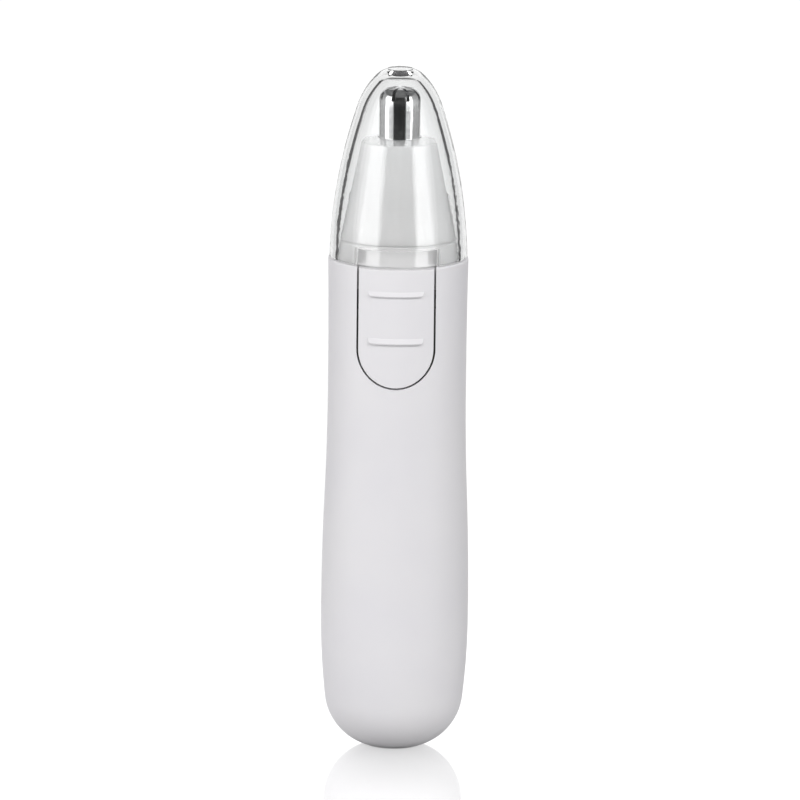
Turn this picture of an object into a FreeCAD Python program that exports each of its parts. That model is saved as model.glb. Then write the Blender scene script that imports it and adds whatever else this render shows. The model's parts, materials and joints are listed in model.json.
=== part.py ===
import FreeCAD, Part
import math
import os
import types

import Sketcher

# A battery-powered nose hair trimmer that stands upright on its flat foot.
# Millimetres. +Z runs up the long axis, the switch faces -Y, and the origin is
# the centre of the foot. Heights are measured from the foot.

DIMENSIONS = {
    # outline of the two body shells, from the foot up to the rim
    "foot_radius": 4.8,
    "flank_radius": 13.96,
    "flank_height": 10.0,
    "belly_radius": 14.93,
    "belly_height": 29.2,
    "middle_radius": 14.36,
    "middle_height": 54.5,
    "waist_radius": 14.0,
    "waist_height": 76.9,
    "rim_radius": 14.2,
    "rim_height": 101.0,
    "rim_round": 0.45,
    "base_curve": 11.6,
    "flank_curve": 150.0,
    "belly_curve": 560.0,
    "waist_curve": 495.0,
    "rim_curve": 1150.0,
    "wall": 1.6,
    "seam_depth": 0.8,
    "seam_width": 0.16,
    # ribs of the shells that hold the frame, and the screw bosses and lugs
    "rib_thick": 1.2,
    "front_rib_low": 30.0,
    "front_rib_high": 55.0,
    "front_rib_edge": 3.0,
    "back_rib_low": 75.0,
    "back_rib_high": 89.0,
    "back_rib_edge": 5.0,
    "fit_gap": 0.1,
    "screw_x": 6.0,
    "screw_z": 8.0,
    "screw_shank": 0.8,
    "screw_head": 1.8,
    "screw_head_height": 1.2,
    "screw_tip": 4.0,
    "boss_radius": 1.9,
    "lug_front": 4.5,
    "lug_thick": 1.5,
    "lug_top": 10.3,
    # switch
    "slot_half": 8.0,
    "slot_gap": 0.4,
    "slot_centre": 84.1,
    "button_top": 100.75,
    "button_inside": 12.6,
    "rib_half": 5.6,
    "rib_height": 1.9,
    "rib_edge": 0.35,
    "rib_corner": 1.0,
    "rib_slope": 6.0,
    "rib_proud": 0.55,
    "rib_root": 13.4,
    "rib_upper": 95.15,
    "rib_lower": 85.4,
    "peg_radius": 1.2,
    "peg_low": 81.0,
    "peg_high": 90.5,
    "peg_end": 10.9,
    "slider_outside": 12.05,
    "slider_inside": 11.1,
    "slider_half": 9.3,
    "slider_bottom": 71.5,
    "slider_top": 92.0,
    "slider_pad_half": 3.0,
    "slider_pad_top": 79.5,
    "leaf_half": 4.5,
    "leaf_bottom": 76.0,
    "leaf_top": 88.0,
    "leaf_thick": 0.25,
    "leaf_face": 9.85,
    "bump_inner": 1.8,
    "bump_outer": 4.2,
    "bump_bottom": 84.0,
    "bump_height": 1.0,
    # battery door
    "door_half": 9.6,
    "door_bottom": 5.7,
    "door_top": 66.3,
    "door_gap": 0.15,
    "door_front": 1.0,
    "tongue_half": 7.0,
    "tongue_below": 0.8,
    "tongue_above": 1.2,
    "grip_top": 63.3,
    "grip_pitch": 1.6,
    "grip_height": 0.7,
    "grip_radius": 13.81,
    "grip_half": 4.5,
    # neck collar and its seal
    "collar_bottom": 96.0,
    "collar_floor": 1.4,
    "collar_top": 105.3,
    "collar_radius": 12.25,
    "collar_crest": 11.9,
    "collar_chamfer": 0.5,
    "collar_bore": 10.9,
    "collar_rib": 12.85,
    "collar_rib_bottom": 98.0,
    "collar_rib_height": 1.0,
    "seal_radius": 3.9,
    "seal_bore": 2.45,
    # inner frame
    "frame_bottom": 10.5,
    "frame_floor": 1.5,
    "tray_inside": 7.55,
    "tray_outside": 8.3,
    "bulkhead": 69.0,
    "bulkhead_thick": 1.4,
    "cradle_inside": 7.75,
    "cradle_outside": 8.9,
    "cradle_open": 3.0,
    "plate_thick": 1.4,
    "plate_hole": 2.75,
    "rail_inner": 5.0,
    "rail_outer": 6.0,
    "rail_face": 9.1,
    "rail_root": 7.0,
    # battery and its contacts
    "battery_bottom": 18.0,
    "battery_top": 67.3,
    "cell_radius": 7.05,
    "nub_radius": 2.75,
    "nub_top": 68.5,
    "wrap_thick": 0.2,
    "wrap_margin": 0.25,
    "battery_spring_radius": 3.6,
    "battery_spring_wire": 0.35,
    "strip_thick": 0.3,
    "strip_inner": 1.5,
    "strip_outer": 4.5,
    "strip_face": 9.35,
    "strip_top": 88.6,
    "strip_recess": 0.2,
    "strip_raised": 86.0,
    "disc_radius": 6.0,
    "plate_half": 4.0,
    "plate_front": 5.0,
    "plate_back": 6.2,
    "tab_half": 1.5,
    "tab_back": 6.0,
    "tab_top": 71.4,
    # motor
    "motor_radius": 7.7,
    "motor_wall": 0.5,
    "motor_bottom": 74.0,
    "motor_top": 91.5,
    "motor_cap_bottom": 72.2,
    "motor_plug_top": 75.2,
    "bearing_bottom": 71.4,
    "bearing_radius": 2.5,
    "neck_top": 93.2,
    "neck_radius": 2.6,
    "bush_radius": 2.0,
    "bush_bottom": 90.5,
    "running_gap": 0.04,
    "magnet_inside": 5.7,
    "magnet_bottom": 76.0,
    "magnet_top": 89.0,
    "magnet_split": 2.6,
    "terminal_half": 2.0,
    "terminal_inner": 5.2,
    "terminal_outer": 5.6,
    "terminal_bottom": 70.6,
    "brush_half": 0.8,
    "brush_thick": 0.25,
    "brush_top": 78.2,
    "shaft_radius": 1.0,
    "shaft_bottom": 71.8,
    "shaft_top": 99.0,
    "commutator_radius": 2.3,
    "commutator_bottom": 76.0,
    "commutator_top": 79.5,
    "armature_radius": 5.4,
    "armature_bottom": 81.5,
    "armature_top": 88.0,
    "pole_hole": 1.3,
    "pole_circle": 3.35,
    "pole_slot": 1.0,
    "winding_radius": 1.2,
    "winding_ring": 1.2,
    "winding_inside": 2.1,
    "winding_outside": 4.6,
    # drive from the motor to the blade
    "coupler_radius": 2.4,
    "coupler_bottom": 93.6,
    "coupler_top": 104.0,
    "flange_radius": 3.4,
    "flange_bottom": 98.3,
    "spring_seat": 99.1,
    "spring_top": 105.6,
    "blade_spring_radius": 2.95,
    "blade_spring_wire": 0.3,
    "socket_bottom": 99.6,
    "hex_size": 2.5,
    "shank_bottom": 100.5,
    "shank_top": 104.2,
    "holder_radius": 1.9,
    "holder_flange": 3.3,
    "holder_flange_top": 106.6,
    "holder_top": 127.5,
    "blade_peg_top": 131.0,
    "hub_radius": 2.6,
    "hub_height": 0.8,
    "blade_radius": 3.82,
    "blade_top": 135.1,
    "blade_corner": 1.85,
    "blade_thick": 0.5,
    # head
    "head_radius": 11.8,
    "head_top_radius": 8.1,
    "head_top": 125.1,
    "head_crown": 125.6,
    "head_round": 0.5,
    "flat_start": 114.0,
    "flat_start_half": 10.16,
    "flat_bottom": 115.3,
    "flat_bottom_half": 9.25,
    "flat_top_half": 7.0,
    "flat_curve": 2.5,
    "plug_radius": 10.8,
    "plug_inside": 9.6,
    "plug_bottom": 101.6,
    "head_cone_bottom": 106.8,
    "head_cone_top": 115.2,
    "head_cone_inside": 8.4,
    "head_hole": 4.35,
    "pocket_radius": 6.2,
    "pocket_bottom": 116.8,
    "pocket_top": 119.5,
    "retainer_inside": 3.95,
    "retainer_bottom": 117.0,
    "cutter_radius": 4.2,
    "cutter_wall": 0.3,
    "cutter_flange": 5.2,
    "cutter_top": 135.5,
    "cutter_corner": 2.2,
    "cutter_slot": 0.6,
    "cutter_slot_bottom": 133.4,
    "cutter_eye": 1.0,
    "cutter_turn": 13.0,
    # clear cap
    "cap_bottom": 101.3,
    "cap_radius": 14.0,
    "cap_mouth_radius": 12.35,
    "cap_shoulder_radius": 8.67,
    "cap_shoulder": 131.94,
    "cap_crown_radius": 5.12,
    "cap_crown": 138.04,
    "cap_tip_radius": 2.6,
    "cap_tip": 139.55,
    "cap_height": 139.68,
    "cap_side_curve": 105.0,
    "cap_shoulder_curve": 16.0,
    "cap_crown_curve": 4.53,
    "cap_wall": 1.85,
    "cap_ceiling": 137.69,
    "cap_ceiling_radius": 2.23,
    "cap_inner_crown_radius": 3.77,
    "cap_inner_crown": 136.78,
    "cap_inner_shoulder_radius": 6.91,
    "cap_inner_shoulder": 131.36,
    "notch_half": 8.1,
    "notch_top": 104.6,
}

CUTTER_SLOTS = 9
MOTOR_POLES = 3
GRIP_GROOVES = 4
BATTERY_SPRING_TURNS = 4
BLADE_SPRING_TURNS = 5
FAR = 40.0  # well outside the body's radius
PAST = 1.0  # how far a cutting tool runs past the face that it cuts
HEX_CORNERS = 6

XY = "XY_Plane"
XZ = "XZ_Plane"

doc = FreeCAD.newDocument("nose_hair_trimmer")


class Size:
    """A number together with the spreadsheet formula that gives it."""

    def __init__(self, value, text):
        self.value = float(value)
        self.text = text

    def __add__(self, other):
        return Size(self.value + number(other), f"({self.text} + {formula(other)})")

    def __sub__(self, other):
        return Size(self.value - number(other), f"({self.text} - {formula(other)})")

    def __rsub__(self, other):
        return Size(number(other) - self.value, f"({formula(other)} - {self.text})")

    def __mul__(self, other):
        return Size(self.value * number(other), f"({self.text} * {formula(other)})")

    def __neg__(self):
        return Size(-self.value, f"(0 - {self.text})")

    __radd__ = __add__
    __rmul__ = __mul__


def number(length):
    return length.value if isinstance(length, Size) else float(length)


def formula(length):
    return length.text if isinstance(length, Size) else f"({length:.6f})"


def make_sheet():
    """Writes every driving dimension into the spreadsheet and returns them as Sizes."""
    sheet = doc.addObject("Spreadsheet::Sheet", "Dims")
    sizes = {}
    for row, (name, value) in enumerate(DIMENSIONS.items(), start=1):
        sheet.set(f"A{row}", name)
        sheet.set(f"B{row}", str(value))
        sheet.setAlias(f"B{row}", name)
        sizes[name] = Size(value, f"Dims.{name}")
    doc.recompute()
    return types.SimpleNamespace(**sizes)


dim = make_sheet()


# ---------------------------------------------------------------- sketches and features


def bind(thing, prop, length):
    """Ties a property to the spreadsheet."""
    thing.setExpression(prop, formula(length))


def origin_part(body, role):
    return [f for f in body.Origin.OriginFeatures if f.Role == role][0]


def add_sketch(body, role, offset=0.0):
    """An empty sketch on one of the body's origin planes, moved along the plane's normal."""
    sketch = body.newObject("Sketcher::SketchObject", body.Name + "_sketch")
    sketch.AttachmentSupport = [(origin_part(body, role), "")]
    sketch.MapMode = "FlatFace"
    bind(sketch, "AttachmentOffset.Base.z", offset)
    return sketch


def add_dimension(sketch, length, *reference):
    index = sketch.addConstraint(Sketcher.Constraint(*reference, number(length)))
    bind(sketch, f"Constraints[{index}]", length)


def fix_point(sketch, geometry, end, x, y):
    """Dimensions one end of an edge from the sketch origin."""
    add_dimension(sketch, x, "DistanceX", -1, 1, geometry, end)
    add_dimension(sketch, y, "DistanceY", -1, 1, geometry, end)


def arc_between(here, there, radius):
    """An arc of less than half a turn. A positive radius bends it to the right of its run."""
    chord = there - here
    half = chord.Length / 2
    left = FreeCAD.Vector(-chord.y, chord.x, 0).normalize()
    depth = math.sqrt(radius * radius - half * half)
    centre = (here + there) * 0.5 + left * math.copysign(depth, radius)
    circle = Part.Circle(centre, FreeCAD.Vector(0, 0, 1), abs(radius))
    first, last = (here, there) if radius > 0 else (there, here)
    return Part.ArcOfCircle(circle, circle.parameter(first), circle.parameter(last))


def draw_outline(sketch, corners):
    """A closed outline. Each corner is (x, y) or (x, y, radius of the arc that leaves it)."""
    points = [FreeCAD.Vector(number(c[0]), number(c[1]), 0) for c in corners]
    starts = []
    ends = []
    for i, corner in enumerate(corners):
        here = points[i]
        there = points[(i + 1) % len(points)]
        forward = True
        if len(corner) == 2:
            shape = Part.LineSegment(here, there)
        else:
            shape = arc_between(here, there, number(corner[2]))
            forward = number(corner[2]) > 0
        edge = sketch.addGeometry(shape, False)
        starts.append((edge, 1 if forward else 2))
        ends.append((edge, 2 if forward else 1))
    for i, corner in enumerate(corners):
        sketch.addConstraint(Sketcher.Constraint("Coincident", *ends[i - 1], *starts[i]))
        fix_point(sketch, *starts[i], corner[0], corner[1])
    for i, corner in enumerate(corners):
        if len(corner) == 3:
            radius = corner[2] if number(corner[2]) > 0 else -corner[2]
            add_dimension(sketch, radius, "Radius", starts[i][0])


def draw_circle(sketch, x, y, radius):
    centre = FreeCAD.Vector(number(x), number(y), 0)
    circle = Part.Circle(centre, FreeCAD.Vector(0, 0, 1), number(radius))
    edge = sketch.addGeometry(circle, False)
    add_dimension(sketch, radius, "Radius", edge)
    fix_point(sketch, edge, 3, x, y)


def rectangle(low_x, high_x, low_y, high_y):
    return [(low_x, low_y), (high_x, low_y), (high_x, high_y), (low_x, high_y)]


def hexagon(across_flats):
    """Corners of a hexagon about the origin, from the distance across its flats."""
    reach = across_flats * (1 / math.sqrt(3))
    turns = [2 * math.pi * k / HEX_CORNERS for k in range(HEX_CORNERS)]
    return [(reach * math.cos(turn), reach * math.sin(turn)) for turn in turns]


def turned(name, corners):
    """A body made by turning an outline of (radius, height) corners about Z."""
    body = doc.addObject("PartDesign::Body", name)
    sketch = add_sketch(body, XZ)
    draw_outline(sketch, corners)
    turn = body.newObject("PartDesign::Revolution", name + "_turn")
    turn.Profile = sketch
    turn.ReferenceAxis = (sketch, ["V_Axis"])
    turn.Angle = 360
    body.Tip = turn
    doc.recompute()
    return body


def extrude(body, kind, sketch, length, backwards=False):
    """A pad or pocket of a sketch that is already drawn."""
    feature = body.newObject(kind, body.Name + "_feature")
    feature.Profile = sketch
    feature.Type = "Length"
    bind(feature, "Length", length)
    feature.Reversed = backwards
    body.Tip = feature
    doc.recompute()
    return feature


def pocket_up(body, low, high, corners=None, circle=None):
    """A pocket that starts at one height and runs up to another."""
    before = body.Shape.Volume
    sketch = add_sketch(body, XY, low)
    if corners:
        draw_outline(sketch, corners)
    else:
        draw_circle(sketch, *circle)
    feature = extrude(body, "PartDesign::Pocket", sketch, high - low, backwards=True)
    if body.Shape.Volume > before - 1e-3:
        raise RuntimeError(f"{body.Label}: a pocket cut nothing")
    return feature


def ring_pattern(body, features, count):
    """Repeats features round the Z axis."""
    pattern = body.newObject("PartDesign::PolarPattern", body.Name + "_pattern")
    pattern.Originals = features
    pattern.Axis = (origin_part(body, "Z_Axis"), [""])
    pattern.Angle = 360
    pattern.Occurrences = count
    body.Tip = pattern
    doc.recompute()


def place(thing, x, y, z):
    for axis, distance in zip("xyz", (x, y, z)):
        bind(thing, f"Placement.Base.{axis}", distance)


def box(name, low, high):
    """A box between two opposite corners."""
    made = doc.addObject("Part::Box", name)
    place(made, *low)
    for prop, a, b in zip(("Length", "Width", "Height"), low, high):
        bind(made, prop, b - a)
    return made


def post(name, radius, low_z, high_z, x=0.0, y=0.0):
    """A cylinder that stands along Z."""
    made = doc.addObject("Part::Cylinder", name)
    bind(made, "Radius", radius)
    bind(made, "Height", high_z - low_z)
    place(made, x, y, low_z)
    return made


def rod(name, radius, x, z, low_y, high_y):
    """A cylinder that lies along Y."""
    made = doc.addObject("Part::Cylinder", name)
    made.Placement.Rotation = FreeCAD.Rotation(FreeCAD.Vector(1, 0, 0), -90)
    bind(made, "Radius", radius)
    bind(made, "Height", high_y - low_y)
    place(made, x, low_y, z)
    return made


def cut(name, base, *tools):
    """The base less every tool, one boolean for each."""
    for tool in tools:
        made = doc.addObject("Part::Cut", name)
        made.Base = base
        made.Tool = tool
        base = made
    doc.recompute()
    return base


def group(kind, prop, name, shapes):
    made = doc.addObject(kind, name)
    setattr(made, prop, list(shapes))
    doc.recompute()
    return made


def common(name, *shapes):
    return group("Part::MultiCommon", "Shapes", name, shapes)


def fused(name, *shapes):
    return group("Part::MultiFuse", "Shapes", name, shapes)


def together(name, *shapes):
    """Separate solids that share one node."""
    return group("Part::Compound", "Links", name, shapes)


def tube(name, inside, outside, low, high):
    bore = post(name + "_bore", inside, low - PAST, high + PAST)
    return cut(name, post(name + "_full", outside, low, high), bore)


def coil(name, radius, low, high, turns, wire):
    """A spring of round wire that stands between two heights."""
    rise = number(high) - number(low) - 2 * number(wire)
    path = Part.makeHelix(rise / turns, rise, number(radius))
    first = path.Edges[0]
    start = first.valueAt(first.FirstParameter)
    along = first.tangentAt(first.FirstParameter)
    section = Part.Wire([Part.makeCircle(number(wire), start, along)])
    made = doc.addObject("Part::Feature", name)
    made.Shape = Part.Wire(path.Edges).makePipeShell([section], True, True)
    made.Placement.Base = FreeCAD.Vector(0, 0, number(low) + number(wire))
    return made


# ---------------------------------------------------------------- shared forms


def body_form(name, inset, top, rim_round=None):
    """The solid inside the body's outline, moved inwards by an inset."""
    rim = dim.rim_radius - inset
    edge = [(rim, top)]
    if rim_round is not None:
        edge = [(rim, top - rim_round, rim_round), (rim - rim_round, top)]
    corners = [
        (0.0, inset),
        (dim.foot_radius, inset, dim.base_curve - inset),
        (dim.flank_radius - inset, dim.flank_height, dim.flank_curve),
        (dim.belly_radius - inset, dim.belly_height, dim.belly_curve),
        (dim.middle_radius - inset, dim.middle_height, -dim.waist_curve),
        (dim.waist_radius - inset, dim.waist_height, -dim.rim_curve),
        *edge,
        (0.0, top),
    ]
    return turned(name, corners)


ABOVE_RIM = dim.rim_height + PAST

outer_form = body_form("outer_form", 0.0, dim.rim_height, dim.rim_round)
skin_form = body_form("skin_form", dim.seam_depth, ABOVE_RIM)
cavity_form = body_form("cavity_form", dim.wall, ABOVE_RIM)
wall_form = cut("wall_form", outer_form, cavity_form)
seam = cut(
    "seam",
    box(
        "seam_slab",
        (-FAR, dim.seam_width * -0.5, -PAST),
        (FAR, dim.seam_width * 0.5, ABOVE_RIM),
    ),
    skin_form,
)


def collar_groove():
    """The groove inside the rim that holds the collar's rib."""
    low = dim.collar_rib_bottom - dim.fit_gap
    high = dim.collar_rib_bottom + dim.collar_rib_height + dim.fit_gap
    deep = dim.collar_rib + dim.fit_gap
    return tube("collar_groove", dim.collar_bore, deep, low, high)


groove = collar_groove()


def u_prism(name, half, top):
    """A U-shaped prism through the front wall: straight sides over a round end."""
    centre = dim.slot_centre
    body = doc.addObject("PartDesign::Body", name)
    sketch = add_sketch(body, XZ)
    corners = [
        (-half, centre, half),
        (0.0, centre - half, half),
        (half, centre),
        (half, top),
        (-half, top),
    ]
    draw_outline(sketch, corners)
    extrude(body, "PartDesign::Pad", sketch, FAR)
    return body


def wall_rib(name, low, keep_out, low_y, high_y):
    """A flat rib that reaches from the wall in to the frame."""
    high = low + dim.rib_thick
    plate = common(name, box(name + "_slab", (-FAR, low_y, low), (FAR, high_y, high)), skin_form)
    return cut(name, plate, post(name + "_hole", keep_out, low - PAST, high + PAST))


# ---------------------------------------------------------------- housing


def screw_boss(side):
    """A post inside the front shell that a screw bites into."""
    name = f"boss_{side}"
    x = dim.screw_x * side
    full = rod(name + "_full", dim.boss_radius, x, dim.screw_z, -FAR, dim.lug_front)
    pilot_end = dim.lug_front + PAST
    pilot = rod(name + "_pilot", dim.screw_shank, x, dim.screw_z, -dim.screw_tip, pilot_end)
    return cut(name, common(name + "_trimmed", full, skin_form), pilot)


def front_shell():
    front = box("front_side", (-FAR, -FAR, -PAST), (FAR, 0.0, ABOVE_RIM))
    half = common("front_half", wall_form, front)
    slot = u_prism("switch_slot", dim.slot_half, ABOVE_RIM)
    opened = cut("front_opened", half, slot, groove, seam)
    strip_way = box(
        "strip_way",
        (-dim.strip_outer - dim.wall, -dim.strip_face - dim.wall, dim.frame_bottom),
        (dim.wall - dim.strip_inner, 0.0, dim.bulkhead),
    )
    ribs = []
    for low in (dim.front_rib_low, dim.front_rib_high):
        keep_out = dim.tray_outside + dim.fit_gap
        rib = wall_rib("front_rib", low, keep_out, -FAR, -dim.front_rib_edge)
        ribs.append(cut("front_rib_open", rib, strip_way))
    bosses = [screw_boss(side) for side in (-1, 1)]
    return fused("front_body", opened, *ribs, *bosses)


def door_box(name, gap):
    """The box that the battery door fills, less a gap all round."""
    low = (gap - dim.door_half, dim.door_front, dim.door_bottom + gap)
    high = (dim.door_half - gap, FAR, dim.door_top - gap)
    return box(name, low, high)


def door_tongue(name, gap):
    """The inner half of the wall below the door, where its tongue hooks in."""
    half = dim.tongue_half + gap
    low = (-half, dim.door_front, dim.door_bottom - dim.tongue_below - gap)
    high = (half, FAR, dim.door_bottom + dim.tongue_above)
    band = common(name + "_band", box(name + "_slab", low, high), skin_form)
    return cut(name, band, cavity_form)


def screw_lug(side):
    """A lug that stands on the back shell's floor and takes one screw."""
    name = f"lug_{side}"
    x = dim.screw_x * side
    half = dim.boss_radius
    back = dim.lug_front + dim.lug_thick
    low = (x - half, dim.lug_front, 0.0)
    slab = box(name + "_slab", low, (x + half, back, dim.lug_top))
    radius = dim.screw_shank + dim.slot_gap
    hole = rod(name + "_hole", radius, x, dim.screw_z, dim.lug_front - PAST, back + PAST)
    return cut(name, common(name + "_trimmed", slab, skin_form), hole)


def back_shell():
    back = box("back_side", (-FAR, 0.0, -PAST), (FAR, FAR, ABOVE_RIM))
    half = common("back_half", wall_form, back)
    opening = door_box("door_opening", 0.0)
    rebate = door_tongue("door_rebate", dim.fit_gap)
    opened = cut("back_opened", half, opening, rebate, groove, seam)
    keep_out = dim.cradle_outside + dim.fit_gap
    ribs = []
    for low in (dim.back_rib_low, dim.back_rib_high):
        ribs.append(wall_rib("back_rib", low, keep_out, dim.back_rib_edge, FAR))
    lugs = [screw_lug(side) for side in (-1, 1)]
    return fused("back_body", opened, *ribs, *lugs)


def battery_door():
    panel = common("door_panel", wall_form, door_box("door_block", dim.door_gap))
    blank = fused("door_blank", panel, door_tongue("tongue", 0.0))
    grooves = []
    for index in range(GRIP_GROOVES):
        low = dim.grip_top - dim.grip_pitch * index
        high = low + dim.grip_height
        ring = tube("grip_ring", dim.grip_radius, FAR, low, high)
        width = box("grip_width", (-dim.grip_half, 0.0, low), (dim.grip_half, FAR, high))
        grooves.append(common("grip_groove", ring, width))
    return cut("door_body", blank, *grooves)


def shell_screws():
    """Two cross-head screws that clamp the shells together under the battery door."""
    seat = dim.lug_front + dim.lug_thick
    head_end = seat + dim.screw_head_height
    arm = dim.screw_head * 0.6
    web = dim.screw_head * 0.15
    screws = []
    for side in (-1, 1):
        x = dim.screw_x * side
        head = rod("screw_head", dim.screw_head, x, dim.screw_z, seat, head_end)
        shank = rod("screw_shank", dim.screw_shank, x, dim.screw_z, -dim.screw_tip, seat)
        recess = []
        for wide, tall in ((arm, web), (web, arm)):
            low = (x - wide, seat + dim.screw_head_height * 0.4, dim.screw_z - tall)
            recess.append(box("screw_cross", low, (x + wide, head_end + PAST, dim.screw_z + tall)))
        screws.append(cut("screw", fused("screw_blank", head, shank), *recess))
    return together("screw_pair", *screws)


# ---------------------------------------------------------------- neck and frame


def neck_collar():
    """The ring that the cap slides over and the head plugs into."""
    below = dim.collar_radius - dim.fit_gap
    rib_top = dim.collar_rib_bottom + dim.collar_rib_height
    floor_top = dim.collar_bottom + dim.collar_floor
    corners = [
        (dim.seal_radius, dim.collar_bottom),
        (below, dim.collar_bottom),
        (below, dim.collar_rib_bottom),
        (dim.collar_rib, dim.collar_rib_bottom),
        (dim.collar_rib, rib_top),
        (below, rib_top),
        (below, dim.rim_height),
        (dim.collar_radius, dim.rim_height),
        (dim.collar_crest, dim.collar_top - dim.collar_chamfer),
        (dim.collar_crest - dim.collar_chamfer, dim.collar_top),
        (dim.collar_bore, dim.collar_top),
        (dim.collar_bore, floor_top),
        (dim.seal_radius, floor_top),
    ]
    ring = turned("collar_ring", corners)
    low = dim.collar_rib_bottom - dim.fit_gap
    high = rib_top + dim.fit_gap
    front = box("rib_front", (-dim.notch_half, -FAR, low), (dim.notch_half, 0.0, high))
    kept = post("rib_kept", below, low - PAST, high + PAST)
    return cut("collar_body", ring, cut("rib_gap", front, kept))


def shaft_seal():
    """A felt washer that keeps hair out of the motor."""
    return tube(
        "seal_ring",
        dim.seal_bore,
        dim.seal_radius,
        dim.collar_bottom,
        dim.collar_bottom + dim.collar_floor,
    )


def frame_slots(floor_top, bulk_top):
    """Openings in the frame for the three contact strips."""
    clear = dim.fit_gap * 2
    inner = dim.strip_inner - clear
    outer = dim.strip_outer + clear
    foot_top = floor_top + dim.strip_thick + dim.fit_gap
    low_slot = box("low_slot", (-outer, -FAR, floor_top), (-inner, -dim.disc_radius, foot_top))
    high_top = dim.terminal_bottom + dim.strip_thick + clear
    high_slot = box("high_slot", (inner, -FAR, bulk_top), (outer, -dim.disc_radius, high_top))
    half = dim.tab_half + clear
    tab_slot = box(
        "tab_slot",
        (-half, dim.terminal_outer - clear, dim.bulkhead - PAST),
        (half, dim.tab_back + clear, bulk_top + PAST),
    )
    return [low_slot, high_slot, tab_slot]


def inner_frame():
    """The chassis: a tray for the battery, a bulkhead and a cradle for the motor."""
    floor_top = dim.frame_bottom + dim.frame_floor
    bulk_top = dim.bulkhead + dim.bulkhead_thick
    floor = post("frame_floor", dim.tray_outside, dim.frame_bottom, floor_top)
    tray_tube = tube("tray_tube", dim.tray_inside, dim.tray_outside, floor_top, dim.bulkhead)
    tray_back = box("tray_back", (-FAR, 0.0, floor_top), (FAR, FAR, dim.bulkhead))
    tray = cut("tray", tray_tube, tray_back)
    bulkhead = post("bulkhead", dim.cradle_outside, dim.bulkhead, bulk_top)
    cradle_tube = tube(
        "cradle_tube", dim.cradle_inside, dim.cradle_outside, bulk_top, dim.collar_bottom
    )
    window = box("window", (-FAR, dim.cradle_open, bulk_top), (FAR, FAR, dim.motor_top))
    cradle = cut("cradle", cradle_tube, window)
    plate_top = dim.motor_top + dim.plate_thick
    middle = dim.cradle_inside + dim.fit_gap
    plate = tube("frame_plate", dim.plate_hole, middle, dim.motor_top, plate_top)
    rails = []
    for side in (-1, 1):
        left = dim.rail_inner if side > 0 else -dim.rail_outer
        right = dim.rail_outer if side > 0 else -dim.rail_inner
        low = (left, -dim.rail_face, dim.motor_bottom)
        rails.append(box("rail", low, (right, -dim.rail_root, dim.motor_top)))
    whole = fused("frame_blank", floor, tray, bulkhead, cradle, plate, *rails)
    return cut("frame_body", whole, *frame_slots(floor_top, bulk_top))


# ---------------------------------------------------------------- switch


def thumb_rib(low):
    """A raised rib across the button: a steep lower edge, a sloping top and turned-up ends."""
    face = dim.rim_radius + dim.rib_proud - dim.fit_gap
    high = low + dim.rib_height
    ring = turned(
        "thumb_ring",
        [
            (dim.rib_root, low),
            (face - dim.rib_edge, low, dim.rib_edge),
            (face, low + dim.rib_edge, dim.rib_slope),
            (dim.rib_root, high),
        ],
    )
    half = dim.rib_half
    corner = dim.rib_corner
    front = doc.addObject("PartDesign::Body", "thumb_front")
    sketch = add_sketch(front, XZ)
    corners = [
        (corner - half, low),
        (half - corner, low, corner),
        (half, low + corner),
        (half, high),
        (-half, high),
        (-half, low + corner, corner),
    ]
    draw_outline(sketch, corners)
    extrude(front, "PartDesign::Pad", sketch, FAR)
    return common("thumb_rib", ring, front)


def switch_button():
    """The sliding panel that fills the U-shaped slot of the front shell."""
    half = dim.slot_half - dim.slot_gap
    panel = common("panel", outer_form, u_prism("panel_prism", half, dim.button_top))
    inside = post("panel_inside", dim.button_inside, dim.leaf_bottom - PAST, ABOVE_RIM)
    plate = cut("plate", panel, inside)
    ribs = [thumb_rib(low) for low in (dim.rib_lower, dim.rib_upper)]
    depth = dim.button_inside + dim.slot_gap
    pegs = [
        rod("peg", dim.peg_radius, 0.0, z, -depth, -dim.peg_end)
        for z in (dim.peg_low, dim.peg_high)
    ]
    return fused("button_body", plate, *ribs, *pegs)


def switch_slider():
    """The carrier behind the wall that the button's pegs snap into."""
    low = (-dim.slider_half, -FAR, dim.slider_bottom)
    width = box("slider_width", low, (dim.slider_half, 0.0, dim.slider_top))
    ring = tube(
        "slider_ring", dim.slider_inside, dim.slider_outside, dim.slider_bottom, dim.slider_top
    )
    curved = common("slider_plate", ring, width)
    leaf_back = dim.leaf_face + dim.leaf_thick
    pad = box(
        "slider_pad",
        (-dim.slider_pad_half, -dim.slider_inside - dim.leaf_thick, dim.leaf_bottom),
        (dim.slider_pad_half, -leaf_back, dim.slider_pad_top),
    )
    holes = [
        rod("slider_hole", dim.peg_radius, 0.0, z, -FAR, 0.0)
        for z in (dim.peg_low, dim.peg_high)
    ]
    return cut("slider_body", fused("slider_blank", curved, pad), *holes)


def switch_contact():
    """The sprung leaf whose two bumps bridge the contact strips."""
    leaf = box(
        "leaf",
        (-dim.leaf_half, -dim.leaf_face - dim.leaf_thick, dim.leaf_bottom),
        (dim.leaf_half, -dim.leaf_face, dim.leaf_top),
    )
    face = -dim.strip_face - dim.running_gap * 0.5
    top = dim.bump_bottom + dim.bump_height
    bumps = []
    for left, right in ((-dim.bump_outer, -dim.bump_inner), (dim.bump_inner, dim.bump_outer)):
        bumps.append(box("bump", (left, -dim.leaf_face, dim.bump_bottom), (right, face, top)))
    return fused("contact_body", leaf, *bumps)


# ---------------------------------------------------------------- battery and contacts


def battery_cell():
    corners = [
        (0.0, dim.battery_bottom),
        (dim.cell_radius, dim.battery_bottom),
        (dim.cell_radius, dim.battery_top),
        (dim.nub_radius, dim.battery_top),
        (dim.nub_radius, dim.nub_top),
        (0.0, dim.nub_top),
    ]
    return turned("cell_body", corners)


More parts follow.
